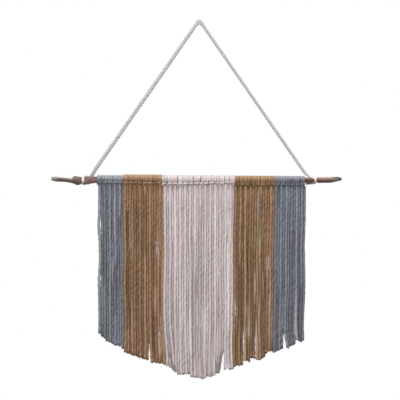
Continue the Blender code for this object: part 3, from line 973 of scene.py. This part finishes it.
def strand_rings(places, length, radius, slant):
    """Rings of one hanging strand, from its cut end up to just below the knot."""
    inner = [(drop, place) for drop, place in zip(DROPS, places) if drop < length - CLEAR_OF_CUT]
    last = len(inner) - 1
    share = (length - DROPS[last]) / (DROPS[last + 1] - DROPS[last])
    foot = inner[-1][1].lerp(places[last + 1], share)
    rings = [(length - row.up, foot, row.wide, row.groove, row.cut) for row in CUT_END]
    rings += [(drop, place, 1.0, 1.0, 0.0) for drop, place in reversed(inner)]
    made = []
    for drop, place, wide, groove, cut in rings:
        back = -STICK_FORWARD / MM - STRAND_FORWARD + place.y
        centre = Vector((place.x * MM, back * MM, -STICK_DROP - drop * MM))
        side = Vector((1, 0, math.tan(slant) * cut))
        half = radius * wide * (1 + FLUFFED * drop / length) * MM
        pale, dark = tinted(place.x, drop)
        dark = max(dark, cut, BELOW_BAR * (1 - smooth_share(drop, *BELOW_DROPS)))
        made.append(Ring(centre, side, Vector((0, 1, 0)), half, half, groove, dark, pale))
    return made


def slotted(across):
    """How far a turn on the stick is pushed aside by the slots near it."""
    shift = 0.0
    for slot in SLOTS:
        away = across - slot.across
        shift += math.copysign(slot.opening / 2 * math.exp(-abs(away) / SLOT_REACH), away)
    return shift


def half_knot(pitch, radius, seat, lean, aside, slant):
    """Rings of a knot's left half round an axis at the origin, from neck to the bar's middle."""
    wrap = pitch / 4
    pinch = (pitch / 2 - 2 * GAP) / 4  # four runs lie side by side under the stick
    strand = GAP / 2 + pinch
    leg = pitch / 2 - GAP / 2 - pinch
    full = wrap - GAP / 2
    pressed = full * TURN_WIDE
    across, back = (1, 0, 0), (0, 1, 0)
    rings = []

    def ring(place, side, out, half_side, half_out, groove, dark):
        halves = (half_side * MM, half_out * MM)
        rings.append(Ring(Vector(place) * MM, Vector(side), Vector(out), *halves, groove, dark))

    for row in NECK:
        place = (-wrap, -radius - row.forward, -seat.drop - row.below)
        ring(place, across, back, full + row.wider, row.half, row.groove, row.shade)
    place = (-strand - PINCHED_OUT, -radius - PINCHED_OUT, -seat.drop)
    ring(place, across, back, pinch + PINCHED_OUT, PINCHED_HALF, KNOT_GROOVE, NECK_SHADE)
    if seat.drop > radius:
        place = (-wrap + aside, -radius - SHANK_FORWARD, SHANK_RISE - seat.drop)
        ring(place, across, back, full, seat.turn, KNOT_GROOVE, seat.foot)
    for i in range(WRAP_RINGS):
        angle = WRAP_START + i * WRAP_STEP
        end = max(0.0, 1 - (WRAP_RINGS - 1 - i) / PINCH_RINGS)
        front = max(0.0, math.cos(angle)) ** 0.5
        place = wrap + (leg - wrap) * end
        half = pressed * (1 - end) + pinch * end
        reach = radius + WRAP_PLAY + seat.turn
        out = (0, math.cos(angle), -math.sin(angle))
        aslant = -place + lean * math.sin(angle) * (1 - end) + aside * front
        spot = (aslant, -reach * math.cos(angle), reach * math.sin(angle))
        dark = seat.foot * (1 - smooth_share(angle, *SHADED_TURN))
        ring(spot, across, out, half, seat.turn, KNOT_GROOVE, dark)
    for bend in BAR:
        turned = math.radians(bend.turn)
        above = bend.above + slant * (1 - bend.inward) - seat.drop
        place = (leg * (bend.inward - 1), -radius - bend.forward, above)
        side = (math.cos(turned), math.sin(turned), 0)
        ring(place, side, (0, 0, 1), pinch * bend.wide, seat.bar, BAR_GROOVE, seat.shade)
    return rings


def mirrored(ring):
    """A ring of the left half as one of the right half."""

    def flip(arrow):
        return Vector((-arrow.x, arrow.y, arrow.z))

    return ring._replace(centre=flip(ring.centre), side=flip(ring.side), out=flip(ring.out))


def cord_rings(pitch, centre, strands, dice):
    """One folded cord: left strand, lark's head, right strand."""
    axis = stick_axis(centre)
    radius = along(STICK, "radius", centre)
    seat = Seat(centre, *(along(BAR_SEATS, column, centre) for column in Seat._fields[1:]))
    seat = seat._replace(drop=seat.drop + dice.uniform(-SEAT_DICE, SEAT_DICE))
    halves = []
    for hand in (-1, 1):
        lean = dice.uniform(-WRAP_LEAN, WRAP_LEAN)
        aside = -hand * slotted(centre + hand * pitch / 4)
        halves.append(half_knot(pitch, radius, seat, lean, aside, hand * BAR_SLANT))
    left = [ring._replace(centre=ring.centre + axis) for ring in halves[0]]
    right = [mirrored(ring) for ring in reversed(halves[1])]
    right = [ring._replace(centre=ring.centre + axis) for ring in right]
    down_right = [mirrored(ring)._replace(centre=ring.centre) for ring in strand_rings(*strands[1])]
    return strand_rings(*strands[0]) + left + right + down_right[::-1]


def route_mesh(name, routes, dice):
    """A mesh of open lines, one for each route, that carries each ring's frame and size.

    The two halves of a route differ in tone and dye, and its twist is a little uneven.
    """
    points = []
    edges = []
    vectors = {"side": [], "out": [], "size": []}
    numbers = {"start": [], "tone": [], "dye": [], "hang": [], "dark": [], "pale": []}
    for rings in routes:
        edges += [(len(points) + i, len(points) + i + 1) for i in range(len(rings) - 1)]
        points += [ring.centre for ring in rings]
        start, slack = dice.uniform(0, 1), dice.uniform(0, 2 * math.pi)
        tones = [dice.uniform(0, 1), dice.uniform(0, 1)]
        dyes = [dice.uniform(0, 1), dice.uniform(0, 1)]
        middle = (len(rings) - 1) / 2
        for i, ring in enumerate(rings):
            half = smooth_share(i, middle - TONE_RINGS, middle + TONE_RINGS)
            numbers["hang"].append(smooth_share(abs(i - middle), *HANGING_RINGS))
            numbers["dark"].append(ring.dark)
            numbers["pale"].append(ring.pale)
            vectors["side"].append(ring.side)
            vectors["out"].append(ring.out)
            vectors["size"].append((ring.half_side, ring.half_out, ring.groove))
            twist = UNEVEN_TWIST * math.sin(i / UNEVEN_RINGS + slack)
            numbers["start"].append(start + twist)
            numbers["tone"].append(tones[0] * (1 - half) + tones[1] * half)
            numbers["dye"].append(dyes[0] * (1 - half) + dyes[1] * half)
    mesh = bpy.data.meshes.new(name)
    mesh.from_pydata(points, edges, [])
    for column, values in vectors.items():
        kept = mesh.attributes.new(column, "FLOAT_VECTOR", "POINT")
        kept.data.foreach_set("vector", [number for value in values for number in value])
    for column, values in numbers.items():
        mesh.attributes.new(column, "FLOAT", "POINT").data.foreach_set("value", values)
    return mesh


def laid_cord_tree():
    """Sweeps three twisted plies along lines that carry each ring's frame and size."""
    tree = bpy.data.node_groups.new("laid_cord", "GeometryNodeTree")
    graph = Graph(tree)
    face = tree.interface
    face.new_socket("Geometry", in_out="INPUT", socket_type="NodeSocketGeometry")
    for name in ("Step", "Lay", "Lay Spread", "Groove", "Fat Ply", "Waver", "Wavers", "Swell"):
        face.new_socket(name, in_out="INPUT", socket_type="NodeSocketFloat")
    face.new_socket("Sides", in_out="INPUT", socket_type="NodeSocketInt")
    face.new_socket("Finish", in_out="INPUT", socket_type="NodeSocketMaterial")
    face.new_socket("Geometry", in_out="OUTPUT", socket_type="NodeSocketGeometry")
    given = graph.node("NodeGroupInput", {}, {}, "Geometry")

    def stored(geometry, name, kind, value):
        settings = {"data_type": kind, "domain": "POINT"}
        sockets = {"Geometry": geometry, "Name": name, "Value": value}
        return graph.node("GeometryNodeStoreNamedAttribute", settings, sockets)

    def named(name, kind="FLOAT"):
        return graph.node("GeometryNodeInputNamedAttribute", {"data_type": kind}, {"Name": name})

    def split(vector):
        return graph.node("ShaderNodeSeparateXYZ", {}, {0: vector})

    line = graph.node("GeometryNodeMeshToCurve", {}, {"Mesh": given})
    smooth = {"spline_type": "CATMULL_ROM"}
    line = graph.node("GeometryNodeCurveSplineType", smooth, {"Curve": line})
    stepped = {"Curve": line, "Length": given.other("Step")}
    line = graph.node("GeometryNodeResampleCurve", {"mode": "LENGTH"}, stepped)
    reach = graph.node("GeometryNodeSplineParameter", {}, {}, "Length")
    line = stored(line, "along", "FLOAT", reach)
    line = stored(line, "spine", "FLOAT_VECTOR", graph.node("GeometryNodeInputPosition", {}, {}))
    sides = given.other("Sides")
    circle = {"Resolution": sides, "Radius": 1.0}
    profile = graph.node("GeometryNodeCurvePrimitiveCircle", {}, circle)
    turn = graph.node("GeometryNodeInputIndex", {}, {}) * (2 * math.pi) / sides
    profile = stored(profile, "round", "FLOAT", turn)
    tube = graph.node(
        "GeometryNodeCurveToMesh", {}, {"Curve": line, "Profile Curve": profile, "Fill Caps": True}
    )

    # How thick the cord is at each point round it: three plies with grooves between them
    size = split(named("size", "FLOAT_VECTOR"))
    ply = named("round").through("COSINE")
    crest = (named("round") * 1.5).through("COSINE").through("ABSOLUTE")
    lobe = 1.0 - given.other("Groove") * size.other("Z") * (1.0 - crest)
    lobe = lobe + given.other("Fat Ply") * named("hang") * ply

    # A hanging cord strays from its line and swells here and there
    where = {"X": named("start") * UNLIKE, "Y": named("along") * given.other("Wavers")}
    where = graph.node("ShaderNodeCombineXYZ", {}, where)
    stray = {"Vector": where, "Scale": 1.0, "Detail": 1.0}
    stray = graph.node("ShaderNodeTexNoise", {}, stray, "Color")
    stray = graph.vector("SUBTRACT", stray, (0.5, 0.5, 0.5))
    free = named("hang") * given.other("Waver")
    lobe = lobe * (1.0 + named("hang") * split(stray).other("Z") * given.other("Swell"))

    # The twist carries the plies round
    tighter = 1.0 + given.other("Lay Spread") * named("start")
    turns = named("along") / given.other("Lay") * tighter
    twisted = named("round") + (turns + named("start")) * (2 * math.pi)
    aside = size.other("X") * lobe * twisted.through("COSINE")
    outward = size.other("Y") * lobe * twisted.through("SINE")
    surface = named("spine", "FLOAT_VECTOR")
    for arrow, reach in (
        (named("side", "FLOAT_VECTOR"), aside),
        (named("out", "FLOAT_VECTOR"), outward),
        (stray, free),
    ):
        scaled = {0: arrow, "Scale": reach}
        scaled = graph.node("ShaderNodeVectorMath", {"operation": "SCALE"}, scaled)
        surface = graph.vector("ADD", surface, scaled)
    tube = graph.node("GeometryNodeSetPosition", {}, {"Geometry": tube, "Position": surface})

    # What the cotton's finish reads
    yarn = graph.node(
        "ShaderNodeCombineXYZ",
        {},
        {
            "X": ply + named("start") * UNLIKE,
            "Y": named("round").through("SINE"),
            "Z": named("along") * (1 / MM),
        },
    )
    tube = stored(tube, "yarn", "FLOAT_VECTOR", yarn)
    tube = stored(tube, "crest", "FLOAT", crest)
    tube = stored(tube, "ply", "FLOAT", ply)
    flank = named("hang") * twisted.through("COSINE").through("ABSOLUTE")
    tube = stored(tube, "flank", "FLOAT", flank)
    tube = graph.node("GeometryNodeSetShadeSmooth", {}, {"Geometry": tube})
    tube = graph.node("GeometryNodeRealizeInstances", {}, {"Geometry": tube})
    tube = graph.node(
        "GeometryNodeSetMaterial", {}, {"Geometry": tube, "Material": given.other("Finish")}
    )
    graph.node("NodeGroupOutput", {}, {"Geometry": tube})
    return tree


def swept(name, lines, tree, settings):
    """The plain mesh that a tree makes of some lines, as a new object."""
    carrier = bpy.data.objects.new(name + "_lines", lines)
    scene.collection.objects.link(carrier)
    modifier = carrier.modifiers.new("sweep", "NODES")
    modifier.node_group = tree
    for socket in tree.interface.items_tree:
        if socket.in_out == "INPUT" and socket.name in settings:
            modifier[socket.identifier] = settings[socket.name]
    depsgraph = bpy.context.evaluated_depsgraph_get()
    mesh = bpy.data.meshes.new_from_object(carrier.evaluated_get(depsgraph), depsgraph=depsgraph)
    mesh.name = name
    bpy.data.objects.remove(carrier)
    made = bpy.data.objects.new(name, mesh)
    scene.collection.objects.link(made)
    return made


# Noise on the cotton: how fine it is round the cord, and along it in a millimetre
FIBRES = (6.0, 6.0, 0.45)
FLECKS = (1.1, 1.1, 0.30)
SLUBS = (0.5, 0.5, 0.09)
DYE_PATCHES = 21.0  # in a metre
DYE_UNEVEN = 0.8
# painted light on the knots on top of the stick, from none at the lower height to full at the upper
TOP_LIGHT_HEIGHTS = (-STICK_DROP - 1.0 * MM, -STICK_DROP + 9.0 * MM)
TOUCHING = (0.55, 0.95)  # where round a strand the shade of its neighbours sets in and is full
DARKEST = 0.75
PALEST = 0.8


def cotton_finish(
    name, *, light, body, deep, pale_and_lit, top_light, blush, cool, shaded, hollowed=0.35, relief=0.4
):
    """Matt cotton.  Its fibres run along the yarn in tones between light and body, with painted
    deep shade between the plies and where strands touch.  Knots on top of the stick get painted
    light from above.  Single strands are painted paler, some as light through narrow openings,
    and the rope's bands in front of the stick get painted light.  The uneven dye leans to blush
    or to cool.  Shaded and hollowed are the shares of the painted shade where strands touch and
    between the plies, and the relief is how far the fibres stand out, in millimetres."""
    made, graph, shader = new_finish(name, roughness=0.95, shine=0.12)
    yarn = carried(graph, "yarn", "Vector")
    columns = ("crest", "tone", "dye", "ply", "dark", "pale", "flank")
    crest, tone, dye, ply, dark, pale, flank = (carried(graph, column) for column in columns)
    place = graph.node("ShaderNodeTexCoord", {}, {}, "Object")
    height = graph.node("ShaderNodeSeparateXYZ", {}, {0: place}, "Z")
    fibres = speckle(graph.vector("MULTIPLY", yarn, FIBRES), scale=1.0, detail=3.0)
    flecks = speckle(graph.vector("MULTIPLY", yarn, FLECKS), scale=1.0, detail=2.0)
    slubs = speckle(graph.vector("MULTIPLY", yarn, SLUBS), scale=1.0, detail=2.0)

    # The weight of each unevenness, less their middle
    shade = 0.75 * tone + 0.5 * fibres + 1.0 * flecks + 1.2 * slubs + 0.12 * ply - 1.20
    colour = graph.mix(ramp(shade, 0.0, 1.0), body, light)
    # painted light on the knots on top of the stick
    colour = graph.mix(ramp(height, *TOP_LIGHT_HEIGHTS), colour, top_light)
    hollow = 1.0 - crest
    # painted shade between the plies, where strands touch, and where the rings are marked dark
    colour = graph.mix(hollow * hollow * hollowed, colour, deep)
    colour = graph.mix(ramp(flank, *TOUCHING) * shaded, colour, deep)
    colour = graph.mix(dark * DARKEST, colour, deep)
    # painted light through narrow openings and on the rope's front bands, and paler single strands
    colour = graph.mix(pale * PALEST, colour, pale_and_lit)
    hue = dye + DYE_UNEVEN * speckle(place, DYE_PATCHES, detail=2.0) - DYE_UNEVEN / 2
    colour = graph.mix(ramp(hue, 0.50, 0.95), colour, blush, "MULTIPLY")
    colour = graph.mix(ramp(hue, 0.50, 0.05), colour, cool, "MULTIPLY")
    paint(graph, shader, colour, fibres, relief * MM)
    return made


FINISHES = {
    "blue_grey": cotton_finish(
        "blue_grey_cotton",
        light=rgb(0.315, 0.330, 0.373),
        body=rgb(0.190, 0.200, 0.235),
        deep=rgb(0.060, 0.064, 0.080),
        pale_and_lit=rgb(0.620, 0.600, 0.610),
        top_light=rgb(0.430, 0.442, 0.465),
        blush=rgb(1.0, 0.95, 0.99),
        cool=rgb(0.90, 0.98, 0.99),
        shaded=0.65,
    ),
    "ochre": cotton_finish(
        "ochre_cotton",
        light=rgb(0.480, 0.308, 0.188),
        body=rgb(0.275, 0.160, 0.092),
        deep=rgb(0.088, 0.045, 0.025),
        pale_and_lit=rgb(0.640, 0.530, 0.440),
        top_light=rgb(0.540, 0.368, 0.228),
        blush=rgb(1.0, 0.94, 0.98),
        cool=rgb(0.97, 1.0, 0.93),
        shaded=0.72,
    ),
    "cream": cotton_finish(
        "cream_cotton",
        light=rgb(0.800, 0.722, 0.724),
        body=rgb(0.640, 0.550, 0.550),
        deep=rgb(0.250, 0.205, 0.200),
        pale_and_lit=rgb(0.860, 0.800, 0.780),
        top_light=rgb(0.780, 0.710, 0.722),
        blush=rgb(1.0, 0.94, 0.96),
        cool=rgb(0.95, 0.98, 1.0),
        shaded=0.50,
    ),
}

laid_cord = laid_cord_tree()
cord_settings = {
    "Step": CORD_STEP,
    "Sides": CORD_SIDES,
    "Lay": CORD_LAY,
    "Lay Spread": LAY_SPREAD,
    "Groove": CORD_GROOVE,
    "Fat Ply": FAT_PLY,
    "Waver": WAVER,
    "Wavers": WAVERS,
    "Swell": SWELL,
}
knot_dice = random.Random(KNOT_SEED)
tone_dice = random.Random(TONE_SEED)
strands = hanging_strands()
knots = knot_places()
for band in BANDS:
    own = [i for i, knot in enumerate(knots) if knot[0] is band]
    groups = math.ceil(len(own) / MOST_CORDS)
    size = math.ceil(len(own) / groups)
    for part in range(groups):
        routes = []
        nodes = []
        for i in own[part * size : (part + 1) * size]:
            _, number, pitch, centre = knots[i]
            routes.append(cord_rings(pitch, centre, strands[2 * i : 2 * i + 2], knot_dice))
            nodes.append(f"cord_{band.name}_{number:02d}")
        name = f"{band.name}_cords" + (f"_{part + 1}" if groups > 1 else "")
        lines = route_mesh(name, routes, tone_dice)
        piece = swept(name, lines, laid_cord, cord_settings | {"Finish": FINISHES[band.colour]})
        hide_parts(*nodes)
        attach(piece, "root")


# --- The hanging rope ------------------------------------------------------------------------
# One length of thicker three-ply cotton rope.  It rises from behind the stick's left end to
# its hook and comes down on the right end, with one hitch round the stick at each end, where
# it is pulled flat against the bark.  One tail is tucked away behind, the other underneath.

ROPE_RADIUS = 3.7 * MM
ROPE_FULLER = 0.10  # how much thicker its left leg lies, and how much thinner its right one
FULLER_REACH = 30.0 * MM  # to each side of the hook, where that changes
ROPE_LAY = 26.0 * MM
ROPE_GROOVE = 0.12
ROPE_SWELL = 0.06
ROPE_STEP = 1.2 * MM
ROPE_SIDES = 18
ROPE_SEEP = 3.0 * MM  # how deep light seeps into the thick cotton
PRESSED_GROOVE = 0.4  # of the usual groove, where the rope is narrowed in a hitch
UNDER_SHADE = 0.75  # how dark it lies below the stick
UNDER_DROPS = (1.5 * MM, 4.0 * MM)
FRONT_REACH = (1.5 * MM, 5.0 * MM)  # painted light on the rope's bands on the front of the stick

# The rope's way round the stick, from its leg to its tail: how far behind the stick's axis and
# above it each point lies, and how flat and how narrow the rope is pressed there
Hitch = namedtuple("Hitch", "across back rise flat narrow", defaults=(1.0,))
LEFT_HITCH = (
    Hitch(-203.7, 10.2, 28.6, 1.0),
    Hitch(-210.4, 10.8, 19.0, 1.0),
    Hitch(-216.2, 11.4, 10.0, 1.0),
    Hitch(-221.6, 11.6, 2.6, 0.9),
    Hitch(-227.0, 10.0, -3.6, 0.6, 0.9),
    Hitch(-230.8, 6.8, -7.2, 0.42, 0.8),
    Hitch(-232.6, 2.2, -7.6, 0.28, 0.62),
    Hitch(-232.6, -2.6, -6.3, 0.22, 0.62),
    Hitch(-232.6, -5.7, -3.4, 0.22, 0.62),
    Hitch(-232.6, -6.7, 0.4, 0.22, 0.62),
    Hitch(-232.6, -5.4, 4.0, 0.22, 0.62),
    Hitch(-232.6, -2.2, 6.4, 0.22, 0.62),
    Hitch(-232.2, 2.4, 7.4, 0.28, 0.62),
    Hitch(-231.2, 7.6, 7.4, 0.45, 0.8),
    Hitch(-229.6, 12.6, 7.0, 0.7, 0.9),
    Hitch(-226.4, 17.0, 5.8, 0.9),
    Hitch(-220.4, 19.6, 3.8, 0.95),
    Hitch(-214.4, 19.0, 2.4, 1.0),
    Hitch(-209.6, 17.4, 1.6, 1.0),
)
RIGHT_HITCH = (
    Hitch(202.0, 9.4, 29.2, 1.0),
    Hitch(208.9, 7.4, 19.2, 1.0),
    Hitch(213.8, 3.8, 12.6, 0.95),
    Hitch(218.2, 0.0, 8.9, 0.68),
    Hitch(222.8, -3.6, 6.7, 0.42, 0.9),
    Hitch(227.4, -5.2, 5.0, 0.28, 0.8),
    Hitch(231.2, -6.0, 3.0, 0.22, 0.72),
    Hitch(232.4, -6.2, 0.2, 0.20, 0.70),
    Hitch(232.3, -4.9, -3.6, 0.20, 0.70),
    Hitch(231.2, -2.0, -6.6, 0.28, 0.8),
    Hitch(228.2, 0.8, -7.4, 0.34, 0.9),
    Hitch(222.8, 2.2, -7.5, 0.40),
    Hitch(217.4, 3.0, -7.7, 0.44),
    Hitch(213.4, 3.8, -7.8, 0.46),
)

# Where the rope bends over its hook, in millimetres to each side and below the top, and how
# far its plies pile up in the bend, as a share of their thickness
Crown = namedtuple("Crown", "across fall pile")
CROWN = (
    Crown(0.0, 0.0, 1.5),
    Crown(4.2, 3.3, 1.2),
    Crown(9.2, 9.7, 1.0),
)
HOOK_PLAY = 1.0 * MM  # between the rope and its hook
LEG_PARTS = 8  # into which the rope's rings divide each leg


def rope_route():
    """Points of the rope's middle from its left end to its right, each with its thickness
    and its width as shares of the round rope's."""

    def placed(hitch):
        axis = stick_axis(hitch.across)
        spot = axis + Vector((0, hitch.back * MM, hitch.rise * MM))
        return spot, (hitch.flat, hitch.narrow)

    def over_hook(row, hand):
        top = ROPE_RADIUS * CROWN[0].pile + HOOK_PLAY
        return Vector((hand * row.across * MM, 0.0, top - row.fall * MM)), (row.pile, 1.0)

    left = [placed(hitch) for hitch in reversed(LEFT_HITCH)]
    right = [placed(hitch) for hitch in RIGHT_HITCH]
    crown = [over_hook(row, -1) for row in reversed(CROWN)]
    crown += [over_hook(row, 1) for row in CROWN[1:]]
    legs = []
    for near, far in ((left[-1], crown[0]), (crown[-1], right[0])):
        stops = [i / LEG_PARTS for i in range(1, LEG_PARTS)]
        legs.append([(near[0].lerp(far[0], stop), (1.0, 1.0)) for stop in stops])
    return left + legs[0] + crown + legs[1] + right


def rope_rings(route):
    """Rings along the rope, pressed flat towards the stick where the route says so."""
    rings = []
    for i, (spot, (flat, narrow)) in enumerate(route):
        ahead = (route[min(i + 1, len(route) - 1)][0] - route[max(i - 1, 0)][0]).normalized()
        axis = stick_axis(spot.x / MM)
        away = Vector((0, spot.y - axis.y, spot.z - axis.z)).normalized()
        out = (away - ahead * away.dot(ahead)).normalized()
        full = ROPE_RADIUS * (1 - ROPE_FULLER * math.tanh(spot.x / FULLER_REACH))
        groove = 1.0 if narrow == 1.0 else PRESSED_GROOVE
        # painted shade under the stick, and painted light on the bands in front of it
        dark = UNDER_SHADE * smooth_share(axis.z - spot.z, *UNDER_DROPS)
        pale = smooth_share(axis.y - spot.y, *FRONT_REACH) * (1 - dark)
        halves = (full * narrow, full * flat)
        rings.append(Ring(spot, out.cross(ahead), out, *halves, groove, dark, pale))
    return rings


route = rope_route()
rope_length = sum((far[0] - near[0]).length for near, far in zip(route, route[1:]))
rope_cotton = cotton_finish(
    "rope_cotton",
    light=rgb(0.520, 0.490, 0.500),
    body=rgb(0.470, 0.440, 0.450),
    deep=rgb(0.110, 0.096, 0.078),
    pale_and_lit=rgb(0.840, 0.780, 0.755),
    top_light=rgb(0.520, 0.490, 0.500),
    blush=rgb(1.0, 0.97, 0.98),
    cool=rgb(0.97, 0.99, 1.0),
    shaded=0.0,
    hollowed=0.06,
    relief=0.1,
)
rope_sockets = rope_cotton.node_tree.nodes["Principled BSDF"].inputs
rope_sockets["Subsurface Weight"].default_value = 1.0
rope_sockets["Subsurface Radius"].default_value = (1.0, 1.0, 1.0)
rope_sockets["Subsurface Scale"].default_value = ROPE_SEEP
rope_settings = {
    "Step": ROPE_STEP,
    "Sides": ROPE_SIDES,
    "Lay": ROPE_LAY,
    "Lay Spread": LAY_SPREAD,
    "Groove": ROPE_GROOVE,
    "Fat Ply": 0.0,
    "Waver": 0.0,
    "Wavers": WAVERS,
    "Swell": ROPE_SWELL,
    "Finish": rope_cotton,
}
rope = swept("rope", route_mesh("rope", [rope_rings(route)], tone_dice), laid_cord, rope_settings)
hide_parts("hanging_rope")
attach(rope, "root")
